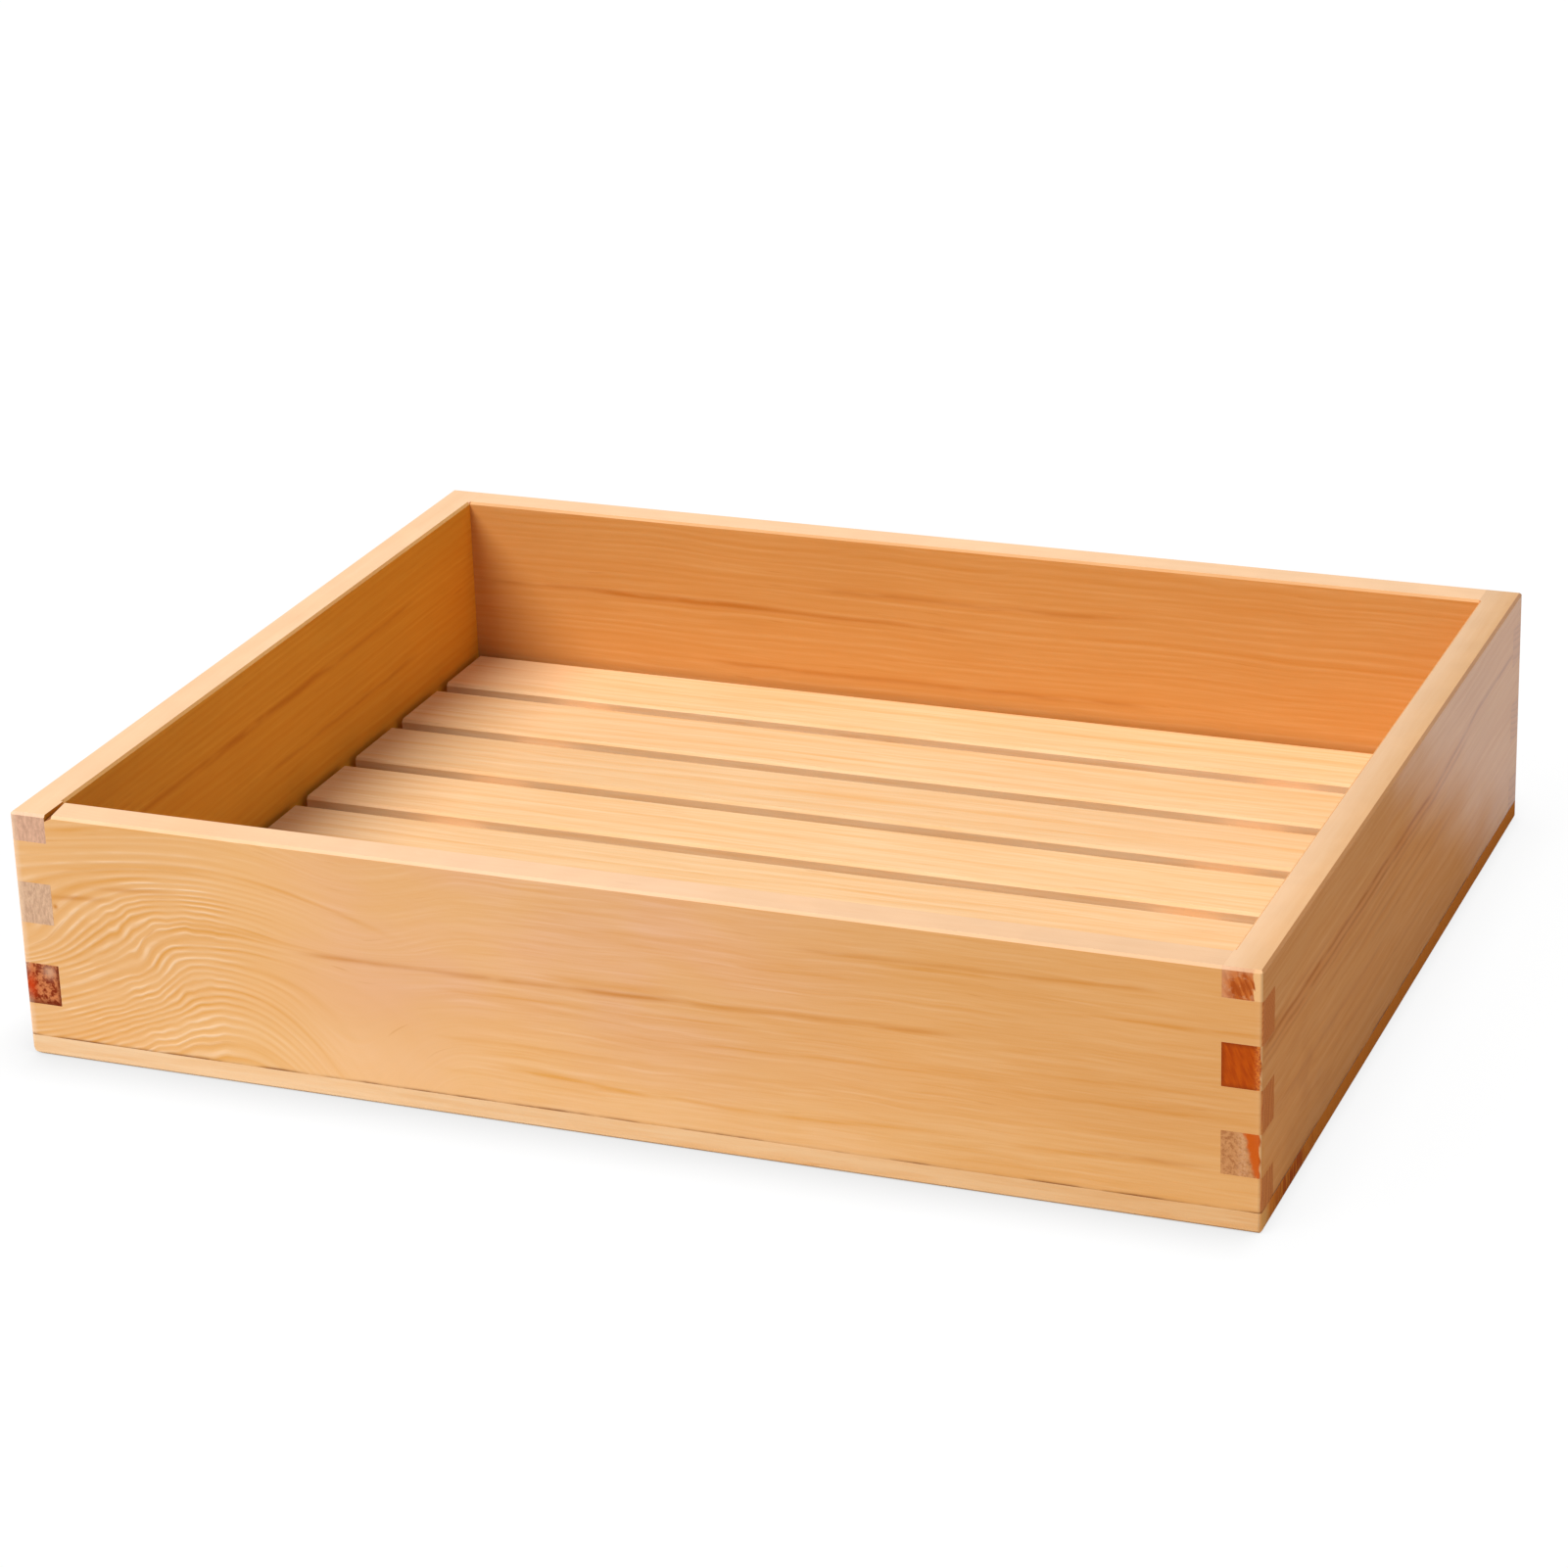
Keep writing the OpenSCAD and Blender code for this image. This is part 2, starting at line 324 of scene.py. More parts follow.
def wood(name, grain, settings, figure=None, marks=None, finish=None, sheen_zone=None):
    """Planed softwood with growth rings, fibres and sawn ends.

    figure(shader, s, w) gives the Figure of a point on the board.
    marks(shader, s, w, level) gives the shares of vein colour and of amber on the long faces.
    finish(shader, place, look, colour) gives the colour after tints of its own.
    The last argument, called as (shader, place, look), gives where a coat shines at a low angle: a
    painted sheen.
    """
    shader = Shader.named(name)
    place, look = shader.axes()
    s, t, w = place[grain.along], place[grain.thick], place[grain.wide]
    seed = grain.seed
    honey = grain.colours.get("honey", settings.honey)
    end = grain.colours.get("end", settings.end)
    end_dark = grain.colours.get("end_dark", settings.end_dark)

    sway = shader.noise(s / 80 + seed, t / 30, w / 40, detail=2) - 0.5
    straight = w - s * grain.slope - sway * grain.wave * 2
    wobble = shader.noise(s / 20 + seed, t / 20, w / 9, detail=1) - 0.5
    if figure:
        shape = figure(shader, s, w)
    else:
        rings = shader.noise(straight / 7 + seed, 4.0, 4.0).step(0.35, 0.65) * 0.5 + 0.15
        shape = Figure(0.0, 0.0, rings, 1.0, 1.0)
    level = straight - shape.lift
    flow = straight - shape.lift * shape.follow - wobble * grain.wave * 0.7
    across = t - grain.heart[0]
    up = level - grain.heart[1]
    radius = (across * across + up * up).root()

    uneven = shader.noise(radius / (grain.spacing * 6) + seed, s / 300, 0.0, detail=1) - 0.5
    turns = radius / grain.spacing + uneven * 4.0
    tooth = turns.fraction()
    chance = shader.chance(turns.whole() + seed)
    late = tooth.step(0.42, 0.80) * tooth.step(1.0, 0.88) * (chance * 0.7 + 0.3)
    early = tooth.step(0.0, 0.16) * tooth.step(0.50, 0.24) * (1.15 - chance * 0.6)

    fibre = shader.noise(s / 16 + seed, t * 1.5, flow * 2.2, detail=3, roughness=0.65)
    streak = shader.noise(s / 110 + seed, t / 4, flow / 4, detail=3)
    thread = shader.noise(s / 40 + seed * 3, t / 2, flow * 0.8, detail=3, roughness=0.6)
    cloud = shader.noise(s / 50, t / 40 + seed, w / 30, detail=1)
    broken = shader.noise(s / 9 + seed, t / 3, w / 3, detail=1)

    ripple = early * shape.rings * shape.ripples * (broken * 1.7 - 0.25)
    ridge = late * shape.rings * grain.contrast
    streaks = (streak - 0.5) * 0.55 + (fibre - 0.5) * 0.65 + (thread - 0.5) * 0.9
    dark = ridge + streaks * shape.streaks * grain.streaks + 0.14
    lines = shader.noise(s / 16 + seed * 2, t / 2, flow * 1.3, detail=1).step(0.70, 0.78) * 0.25
    if marks:
        veined, tinged = marks(shader, s, w, level)
        lines = lines + veined
        dark = dark + tinged
    pale = ripple * 0.85 + (0.46 - thread).over(0.0) * shape.streaks * grain.streaks
    face = shader.mix(pale.over(0.0).under(1.0), honey, settings.cream)
    face = shader.mix(dark.over(0.0).under(1.0), face, settings.amber)
    face = shader.mix(lines.over(0.0).under(1.0), face, settings.vein)
    light = (cloud - 0.5) * 0.08 + (fibre - 0.5) * 0.04 + 1.0
    face = shader.mix(1.0, face, shader.grey(light), blend="MULTIPLY")

    speck = shader.noise(t * 2.6 + seed, w * 2.6, s * 2.6, detail=2)
    sawn = tooth.step(0.3, 0.95) * tooth.step(1.0, 0.93) * 0.6 + (speck - 0.5) * 1.4 + 0.1
    cut = shader.mix(sawn.over(0.0).under(1.0), end, end_dark)
    sideways = sawn_faces(look, grain.along)
    colour = shader.mix(sideways, face, cut)
    if finish:
        colour = finish(shader, place, look, colour)

    relief = ripple * 0.7 - ridge * 0.4 + fibre * 0.6 + sideways * (speck * 1.2)
    bump = shader.node("ShaderNodeBump", {"Height": relief, "Strength": 0.3, "Distance": 0.00012})
    shader.set(shader.surface, {
        "Base Color": colour,
        "Roughness": (fibre - 0.5) * 0.25 + sideways * 0.2 + settings.roughness,
        "Specular IOR Level": 0.12,
        "Normal": bump,
    })
    # A painted sheen: a coat laid over one zone only
    if sheen_zone:
        shader.set(shader.surface, {"Coat Weight": sheen_zone(shader, place, look), "Coat Roughness": 0.3})
    return shader.material


def rim_faces(place, look):
    """How far a point belongs to the top edges of the box."""
    return look[2].step(0.25, 0.85) * place[2].step(FLOOR_TOP + 20, HEIGHT - 3)


def sawn_faces(look, axis):
    """How far a point belongs to the faces sawn across an axis."""
    return look[axis].size().step(0.45, 0.75)


def right_faces(look):
    """How far a point belongs to the faces that look right."""
    return look[0].step(0.5, 0.8)


def wall_finish(settings, inward_axis, inward_sign, tints=(), inner_shade=None, rim=None):
    """Tints that all walls share: a pale rim dimmed to the right by painted shade, a painted highlight
    with some pale wear on the outer corners, painted shade on the inner faces, and a seam.

    inward_axis and inward_sign say which way the inner face looks. tints are functions like
    this one's result, which come first. The argument after tints is the inner face's tint, its
    painted shade. rim is a function like them for the rim alone.
    """
    dark_finger = (FINGER_LEVELS[1] + FINGER_LEVELS[2]) / 2

    def finish(shader, place, look, colour):
        x, y, z = place
        for tint in tints:
            colour = tint(shader, place, look, colour)
        inner = (look[inward_axis] * inward_sign).step(0.5, 0.8)
        # Painted shade: the inner faces are multiplied darker and deeper
        colour = shader.mix(inner, colour, inner_shade or settings.inner_shade_other, blend="MULTIPLY")
        # The rims get a paler colour than the faces, less so on their inner edges
        pale_top = rim_faces(place, look) * (1.0 - inner * 0.8)
        creamy = shader.noise(x / 14, y / 14, 7.0, detail=2).step(0.35, 0.65) * 0.035
        # Painted shade: the rims dim towards the right, under a random creamy tone
        shade_and_tone = x.step(-20, HALF_W) * 0.07 + creamy
        colour = shader.mix(pale_top * 0.65, colour, settings.rim)
        colour = shader.mix(pale_top, colour, shader.grey(1.0 - shade_and_tone), blend="MULTIPLY")
        if rim:
            colour = rim(shader, place, look, colour)
        outermost = (x.size() + y.size()).step(HALF_W + HALF_D - 2.4, HALF_W + HALF_D - 0.8)
        # Painted highlight with some pale wear on the outer corners, strongest at the left front corner,
        # which faces the lamp
        highlight_and_wear = (x.step(20, -20) * y.step(20, -20) * 0.45 + 0.04) * (1.0 - (z - dark_finger).hump(6))
        colour = shader.mix(outermost * highlight_and_wear, colour, settings.rim)
        patchy = shader.noise(x / 14, y / 14, 0.0, detail=3).step(0.35, 0.6) * 0.7 + 0.2
        drift = (shader.noise(x / 20, y / 20, 5.0) - 0.5) * 0.8
        seam = (z - FLOOR_TOP - drift.over(0.0)).hump(0.45) * patchy
        return shader.mix(seam, colour, settings.seam)
    return finish


def front_rim(shader, place, look, colour):
    """Painted shade inside the open wedge at the left shoulder."""
    wedge = (look[0] * -1.0).step(0.25, 0.5) * place[2].step(HEIGHT - 2.0, HEIGHT - 1.5)
    return shader.mix(wedge * 0.85, colour, paint(138, 74, 30))


def right_rim(shader, place, look, colour):
    """The right rim is rubbed round outwards; painted shade makes it darker there, where it turns from
    the lamp, and towards the back.
    """
    x, y, _ = place
    top = rim_faces(place, look)
    outward = (x - HALF_W + WALL).step(0, WALL)
    colour = shader.mix(top * outward, colour, (0.91, 0.82, 0.68), blend="MULTIPLY")
    edge = top * look[0].step(0.2, 0.6)
    colour = shader.mix(edge, colour, (0.90, 0.74, 0.56), blend="MULTIPLY")
    back = y.step(-HALF_D, HALF_D) * 0.14
    return shader.mix(top, colour, shader.grey(1.0 - back), blend="MULTIPLY")


def finger_ends(shader, place, low, middle, top):
    """The colour of the side boards' sawn fingers, one for each height. Each is a colour."""
    z = place[2]
    split_low = (FINGER_LEVELS[2] + FINGER_LEVELS[3]) / 2
    split_top = (FINGER_LEVELS[4] + FINGER_LEVELS[5]) / 2
    colour = shader.mix(z.step(split_low - 1, split_low + 1), low, middle)
    return shader.mix(z.step(split_top - 1, split_top + 1), colour, top)


def softened_copy(name, width, move=None):
    """A copy of a CAD piece, merged into one skin, with its edges rounded by width."""
    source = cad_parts[name]
    mesh = source.data.copy()
    mesh.name = name + "_skin"
    skin = bmesh.new()
    skin.from_mesh(mesh)
    bmesh.ops.remove_doubles(skin, verts=skin.verts, dist=MERGE_DISTANCE)
    bmesh.ops.dissolve_limit(
        skin, angle_limit=FLAT_ANGLE, verts=skin.verts, edges=skin.edges, use_dissolve_boundaries=False
    )
    if move:
        move(skin)
    sharp = [edge for edge in skin.edges
             if len(edge.link_faces) == 2 and edge.calc_face_angle(0) > SHARP_ANGLE]
    bmesh.ops.bevel(
        skin, geom=sharp, offset=width, offset_type="OFFSET", affect="EDGES", segments=2,
        profile=0.5, material=-1, clamp_overlap=True
    )
    for face in skin.faces:
        face.smooth = True
    skin.to_mesh(mesh)
    skin.free()
    mesh.materials.clear()
    piece = bpy.data.objects.new(name + "_dressed", mesh)
    bpy.context.scene.collection.objects.link(piece)
    smooth_flats(piece)
    return piece


def smooth_flats(piece):
    """Keeps flat faces flat where they meet a rounded edge."""
    weighted = piece.modifiers.new("Flat faces", "WEIGHTED_NORMAL")
    weighted.keep_sharp = True


def dress(name, body, width, material, move=None):
    """Stands a softened copy in the place of a CAD piece."""
    piece = softened_copy(name, width, move)
    piece.data.materials.append(material)
    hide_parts(name)
    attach(piece, body)


def swirl(shader, s, w):
    """The figure at the left of the front board, where the grain swells over a buried branch.

    Each line climbs from the left, goes over a crest and falls again. The lift of a point is
    how far it lies under the crest of its own line, so the rings are told apart by the height
    of their crests.
    """
    x = s + HALF_W
    past = x - (w * -0.17 + 64)
    after = past.over(0.0)
    climb = w.step(58, 27) * 14.5 + 6.5
    fall = (38.5 - w).over(0.0).under(33) * 0.8 + w.step(38.2, 44.5) * 13 + 4
    fall_width = w.step(36, 52) * 20 + 30
    lift = climb * (past.step(-69, 0) - 1.0) + fall * (after.hump(fall_width) - 1.0)
    ripple = shader.noise(s / 5.2, w / 7, 2.0, detail=0.5) - 0.5
    lift = lift + ripple * x.step(18, 30) * x.step(66, 50) * w.step(52, 40) * 2.1
    bank = ((x + (w - 31) * 0.5).step(33, 48) - 0.5) * (w - 30).hump(12) * 5.2
    patchy = shader.noise(s / 13, w / 8, 6.0, detail=1).step(0.30, 0.66) * 0.8 + 0.35
    sag = (x - 205).hump(38) * w.step(24, 12) * 3.2
    rings = x.step(94, 54) * (w.step(64, 46) * 0.75 + 0.25) * patchy + 0.06
    calm = 1.0 - (x - 107).hump(17) * w.step(39, 29) * 0.85
    return Figure(
        lift=lift + bank - sag,
        follow=x.step(128, 84),
        rings=rings * (x.step(2, 26) * 0.4 + 0.6),
        ripples=x.step(68, 50) * 1.35 + 0.3,
        streaks=(x.step(100, 150) * 0.8 + 0.7) * calm,
    )


def veins(shader, s, height, lines, wobble=0.8):
    """Single veins. Each is its height, half width, start, end and strength, in millimetres."""
    bend = (shader.noise(s / 26, 3.0, 1.0, detail=1) - 0.5) * wobble
    uneven = shader.noise(s / 16, height / 3, 1.0, detail=2).step(0.1, 0.6)
    total = 0.0
    for middle, width, start, end, strength in lines:
        line = (height - middle + bend).hump(width) * s.step(start - 8, start + 8)
        total = line * s.step(end + 12, end - 8) * uneven * strength + total
    return total


def front_marks(shader, s, w, level):
    """The front board's own veins and one small knot.

    Left of the crest they follow the rings, and on the right they run nearly level.
    """
    x = s + HALF_W
    over_crest = veins(shader, x, level, (
        (42.6, 1.0, 46, 84, 0.5),
        (40.2, 0.7, 44, 62, 0.6),
        (38.4, 0.6, 42, 58, 0.5),
        (31.0, 0.9, 58, 84, 0.25),
        (23.3, 0.8, 62, 88, 0.3),
        (11.0, 1.0, 44, 76, 0.4),
        (57.4, 0.7, 10, 50, 0.5),
        (58.4, 0.7, 68, 100, 0.5),
        (54.6, 0.7, 10, 34, 0.4),
        (68.0, 0.8, 10, 56, 0.6),
    ))
    dashes = veins(shader, x, w - x * 0.08, (
        (44.7, 0.8, 10, 20, 0.8),
        (47.6, 0.7, 24, 40, 0.5),
    ), wobble=0.3)
    height = w - (x - 120).over(0.0) * 0.0145
    along = veins(shader, x, height, (
        (39.1, 0.75, 84, 180, 0.42),
        (39.1, 0.75, 190, 250, 0.28),
        (39.2, 0.9, 84, 98, 0.25),
        (39.1, 0.7, 124, 140, 0.25),
        (39.1, 0.8, 158, 190, 0.34),
        (39.1, 0.6, 230, 248, 0.2),
        (12.7, 0.7, 290, 312, 0.5),
        (56.8, 0.5, 215, 300, 0.25),
    ), wobble=1.0)
    yellow = veins(shader, x, height, (
        (41.2, 0.9, 148, 178, 0.6),
        (39.1, 0.9, 186, 250, 0.5),
        (11.9, 0.6, 268, 300, 0.6),
        (48.3, 0.5, 280, 330, 0.7),
        (56.8, 0.7, 215, 300, 0.5),
        (55.4, 0.5, 240, 270, 0.5),
        (34.6, 0.5, 120, 200, 0.4),
        (28.6, 0.6, 190, 262, 0.4),
        (25.8, 0.7, 250, 320, 0.4),
        (21.5, 0.5, 120, 175, 0.35),
        (50.5, 0.5, 180, 230, 0.35),
        (31.5, 0.5, 270, 326, 0.45),
    ), wobble=1.0)
    sagging = veins(shader, x, w + (x - 205).hump(42) * 3.4, (
        (15.2, 0.8, 134, 172, 0.8),
        (16.2, 0.6, 176, 240, 0.5),
        (12.6, 0.6, 120, 160, 0.3),
    ))
    knot = (x - 10.9).hump(0.7) * (w - 42.9).hump(0.7)
    return dashes + along + knot * 0.9, over_crest + yellow + sagging


def front_tone(shader, place, look, colour):
    """Broad changes of tone: pinkish above and right of the crest, deeper at the right end, partly as
    painted shade.
    """
    x = place[0] + HALF_W
    z = place[2]
    patch = shader.noise(x / 40, z / 22, 8.0, detail=2).step(0.3, 0.7)
    pink = x.step(64, 100) * x.step(260, 170) * (z.step(20, 34) * 0.6 + 0.4)
    colour = shader.mix(pink * (patch * 0.7 + 0.2), colour, (1.0, 1.0, 1.32), blend="MULTIPLY")
    pale = x.step(20, 60) * z.step(27, 11)
    colour = shader.mix(pale * 0.9, colour, (1.04, 1.11, 1.2), blend="MULTIPLY")
    return deeper_and_shaded_right(shader, place, look, colour)


def deeper_and_shaded_right(shader, place, look, colour):
    """A deeper honey towards the right end: partly a deeper wood, partly painted shade where the light
    falls off to the right.
    """
    share = (place[0] + HALF_W).step(50, 350)
    return shader.mix(share, colour, DEEPER_AND_SHADED, blend="MULTIPLY")


def panel_tone(shader, place, look, colour):
    """Deeper towards the right end, partly as painted shade; its sawn face is orange and ticked dark near
    the front.
    """
    x, y, z = place
    share = (x + HALF_W).step(0, 352)
    colour = shader.mix(share, colour, DEEPER_AND_SHADED, blend="MULTIPLY")
    sawn = right_faces(look)
    colour = shader.mix(sawn * 0.9, colour, paint(255, 150, 44))
    ticks = shader.noise(y * 0.8, z / 9, 2.0, detail=1).step(0.42, 0.56)
    colour = shader.mix(ticks * (y + HALF_D - 28).hump(17) * sawn * 0.9, colour, paint(196, 78, 10))
    front = (y + HALF_D).step(9, 3) * sawn
    return shader.mix(front * 0.7, colour, paint(255, 196, 120))


def stray_marks(start, heights):
    """A few long veins along a board, one after another, at the given heights."""
    def marks(shader, s, w, level):
        lines = [(height, 0.8, start + 37 * i, start + 37 * i + 90 + 20 * (i % 3), 0.5)
                 for i, height in enumerate(heights)]
        return veins(shader, s, level, lines, wobble=1.5), 0.0
    return marks


def side_marks(shader, s, w, level):
    """Two soft veins close together with finer ones round them, which rise near the back."""
    height = w - (s + HALF_D).step(160, 232) * 4.5
    soft = veins(shader, s + HALF_D, height, (
        (48.3, 0.8, 0, 268, 1.0),
        (45.6, 0.7, 0, 200, 0.8),
        (51.0, 0.6, 0, 60, 0.35),
        (43.4, 0.6, 0, 150, 0.4),
        (39.0, 0.7, 60, 180, 0.3),
        (36.0, 0.6, 90, 170, 0.35),
        (32.0, 0.7, 100, 190, 0.3),
        (27.0, 0.8, 20, 110, 0.3),
        (19.0, 0.8, 60, 160, 0.25),
    ), wobble=1.6)
    return soft, 0.0


def sawn_left(shader, place, look, colour):
    """Sawn fingers of the left board: two greyish ones over a dark mottled one."""
    x, _, z = place
    low = FINGER_LEVELS[1]
    cells = shader.noise(x * 0.55, z * 0.5, 4.0, detail=3, roughness=0.7)
    spots = shader.noise(x * 1.2, z * 0.4, 1.0, detail=4, roughness=0.7)
    mottled = shader.mix(cells.step(0.40, 0.58), paint(134, 44, 10), paint(212, 128, 78))
    grey = (x + HALF_W - 7.2).hump(1.8) * (z - low - 9.4).hump(1.8)
    mottled = shader.mix(grey * 0.7, mottled, paint(214, 170, 140))
    fire = (x + HALF_W - 1.6).hump(1.5) * (z - low - 5).hump(3.4)
    mottled = shader.mix(fire * 0.9, mottled, paint(206, 62, 8))
    edges = (z - low).hump(1.3).over((x + HALF_W - WALL).hump(0.8))
    mottled = shader.mix(edges * 0.8, mottled, paint(110, 36, 8))
    greyish = shader.mix(spots.step(0.32, 0.66), paint(198, 158, 130), paint(230, 190, 156))
    pinkish = shader.mix(spots.step(0.32, 0.66), paint(202, 158, 132), paint(232, 184, 154))
    ends = finger_ends(shader, place, mottled, greyish, pinkish)
    return shader.mix(sawn_faces(look, 1), colour, ends)


def sawn_right(settings):
    """Sawn fingers of the right board: brown, deep orange, and beige beside orange.

    They stop short of the corner, where the wood was planed flush and is pale.
    """
    def sawn(shader, place, look, colour):
        x, _, z = place
        depth = HALF_W - x
        spots = shader.noise(x * 0.6, z * 0.6, 7.0, detail=3, roughness=0.6)
        lines = shader.noise(x * 0.9 + z * 0.35, z * 0.2, 2.0, detail=2)
        dots = shader.noise(x * 1.7, z * 1.7, 3.0, detail=1)
        ring = (depth - 11) * (depth - 11) + (z - 12) * (z - 12)
        arcs = ((ring.root() + (spots - 0.5) * 6) / 2.6).fraction().step(0.4, 0.9) * dots.step(0.36, 0.60)
        middle = (depth - 5.0).hump(4.4) * (z - FINGER_LEVELS[5] - 3.0).hump(5.0)
        reddish = (middle * (spots.step(0.25, 0.55) + 0.5)).under(1.0)
        rust = shader.mix(lines.step(0.38, 0.60), paint(172, 78, 22), paint(204, 110, 46))
        brown = shader.mix(reddish, paint(217, 156, 112), rust)
        orange = shader.mix(lines.step(0.30, 0.70), paint(172, 66, 4), paint(192, 82, 6))
        border = (z - FINGER_LEVELS[3]).hump(0.9).over((z - FINGER_LEVELS[4]).hump(0.9))
        border = border.over((depth - WALL).hump(0.9))
        orange = shader.mix(border * 0.7, orange, paint(142, 54, 6))
        # Painted highlight along the corner edge of the orange finger
        glow = (depth - 0.8).hump(1.0) * dots.step(0.40, 0.60)
        orange = shader.mix(glow * 0.8, orange, paint(226, 130, 40))
        speckle = shader.noise(x * 1.0, z * 0.8, 9.0, detail=4, roughness=0.65).step(0.44, 0.62)
        dark = (arcs * 0.3 + speckle * 0.5).under(1.0)
        beige = shader.mix(dark, paint(204, 144, 92), paint(154, 88, 44))
        # Painted highlight: a cream line down the beige finger
        lit = (depth - 4.6).hump(1.3) * dots.step(0.30, 0.60)
        beige = shader.mix(lit * 0.5, beige, paint(226, 174, 130))
        split = (depth - (z - FINGER_LEVELS[1]) * 0.24 + (spots - 0.5) * 2.4).step(2.4, 0.9)
        beige = shader.mix(split, beige, paint(204, 92, 20))
        ends = finger_ends(shader, place, beige, orange, brown)
        reach = z.step(FINGER_LEVELS[4], FINGER_LEVELS[5]) * 1.7 + 0.5 + (lines - 0.5) * 1.6
        ends = shader.mix((depth - reach).step(0.3, -0.2), ends, settings.honey)
        return shader.mix(sawn_faces(look, 1), colour, ends)
    return sawn


def shaded_right(shader, place, look, colour):
    """Painted shade: the box's right side, turned from the lamp, is a deeper orange-brown; it is also
    mottled near the front.
    """
    _, y, z = place
    outer = right_faces(look)
    along = y + HALF_D
    low = shader.mix(z.step(0, HEIGHT), (1.10, 0.80, 0.46), (1.0, 0.74, 0.44))
    colour = shader.mix(outer, colour, low, blend="MULTIPLY")
    mottled = shader.noise(y / 18, z / 8, 6.0, detail=2).step(0.42, 0.66)
    mottled = mottled * (along - 40).hump(34) * (z - 22).hump(16)
    return shader.mix(outer * mottled * 0.6, colour, (0.86, 0.78, 0.70), blend="MULTIPLY")


def sheen_right(shader, place, look):
    """Painted sheen: a coat over the back of the box's right side, up to a slanting edge, shows a bright
    reflection there at a low angle.
    """
    _, y, z = place
    ragged = shader.noise(y / 22, z / 10, 3.0, detail=2) - 0.5
    # Share of the painted sheen, rising past a slanting, ragged edge
    smooth = (y + HALF_D + z * 1.75 + ragged * 30).step(214, 290)
    return smooth * right_faces(look) * 0.78


class SERVINGBOX_OT_front_board(bpy.types.Operator):
    """Dress the front board"""

    bl_idname = "servingbox.front_board"
    bl_label = "Front board"

    def execute(self, context):
        settings = context.scene.serving_wood
        colours = {"end": paint(248, 162, 92), "end_dark": paint(216, 114, 58)}
        grain = Grain(0, 1, 2, heart=(120, -160), seed=1, spacing=1.2, wave=1.8, contrast=0.7,
                      colours=colours)
        finish = wall_finish(settings, 1, 1, (front_tone,), rim=front_rim)
        material = wood("front board wood", grain, settings, swirl, front_marks, finish)

        def open_shoulder(skin):
            """Wears a wedge from the top of the left end, open to the front."""
            left = (-HALF_W + WALL) * MM
            depth = 1.7
            share_behind = 0.45
            on_plane = 0.0001 * MM
            near = 0.05 * MM
            bmesh.ops.bisect_plane(
                skin, geom=skin.verts[:] + skin.edges[:] + skin.faces[:], dist=on_plane,
                plane_co=(0, 0, (HEIGHT - depth) * MM), plane_no=(0, 0, 1)
            )
            for corner in skin.verts:
                at_end = abs(corner.co.x - left) < near
                high = corner.co.z > (HEIGHT - depth / 2) * MM
                if at_end and high:
                    front = corner.co.y < (-HALF_D + WALL / 2) * MM
                    corner.co.x += settings.shoulder_gap * (1.0 if front else share_behind)

        dress("front_wall", "box", settings.joint_ease, material, open_shoulder)
        return {"FINISHED"}


class SERVINGBOX_OT_back_board(bpy.types.Operator):
    """Dress the back board"""

    bl_idname = "servingbox.back_board"
    bl_label = "Back board"

    def execute(self, context):
        settings = context.scene.serving_wood
        colours = {"end": paint(236, 184, 146), "end_dark": paint(214, 156, 116)}
        grain = Grain(0, 1, 2, heart=(170, 260), seed=2, spacing=2.2, wave=2.5, contrast=0.5,
                      colours=colours)
        marks = stray_marks(-150, (44.0, 43.2, 25.0, 52.0, 18.0))
        finish = wall_finish(settings, 1, -1, (shaded_right,))
        material = wood("back board wood", grain, settings, None, marks, finish, sheen_right)
        dress("back_wall", "box", settings.joint_ease, material)
        return {"FINISHED"}


class SERVINGBOX_OT_side_boards(bpy.types.Operator):
    """Dress the left and right boards"""

    bl_idname = "servingbox.side_boards"
    bl_label = "Side boards"

    def execute(self, context):
        settings = context.scene.serving_wood
        left = Grain(1, 0, 2, heart=(-190, -60), seed=3, spacing=2.2, slope=0.01, wave=0.8)
        finish = wall_finish(settings, 0, 1, (sawn_left,), settings.inner_shade_left)
        marks = stray_marks(-125, (22.0, 50.5, 49.6, 33.0))
        material = wood("left board wood", left, settings, None, marks, finish)
        dress("left_wall", "box", settings.joint_ease, material)

        right = Grain(1, 0, 2, heart=(260, -30), seed=4, spacing=1.9, slope=0.01, wave=2.0,
                      streaks=1.6)
        tints = (shaded_right, sawn_right(settings))
        finish = wall_finish(settings, 0, -1, tints, rim=right_rim)
        material = wood("right board wood", right, settings, None, side_marks, finish, sheen_right)
        dress("right_wall", "box", settings.joint_ease, material)
        return {"FINISHED"}


class SERVINGBOX_OT_floor_panel(bpy.types.Operator):
    """Dress the staves of the floor panel"""

    bl_idname = "servingbox.floor_panel"
    bl_label = "Floor panel"

    def execute(self, context):
        settings = context.scene.serving_wood
        for number, name in enumerate(STAVES):
            heart = (70 - 25 * number, 40 + 30 * number)
            colours = {"honey": paint(245, 208, 165)}
            grain = Grain(0, 2, 1, heart=heart, seed=10 + number, spacing=2.1, wave=1.5,
                          contrast=0.5, colours=colours)
            material = wood(f"floor stave {number + 1} wood", grain, settings, finish=panel_tone)
            dress(name, "box", settings.joint_ease, material)
        return {"FINISHED"}


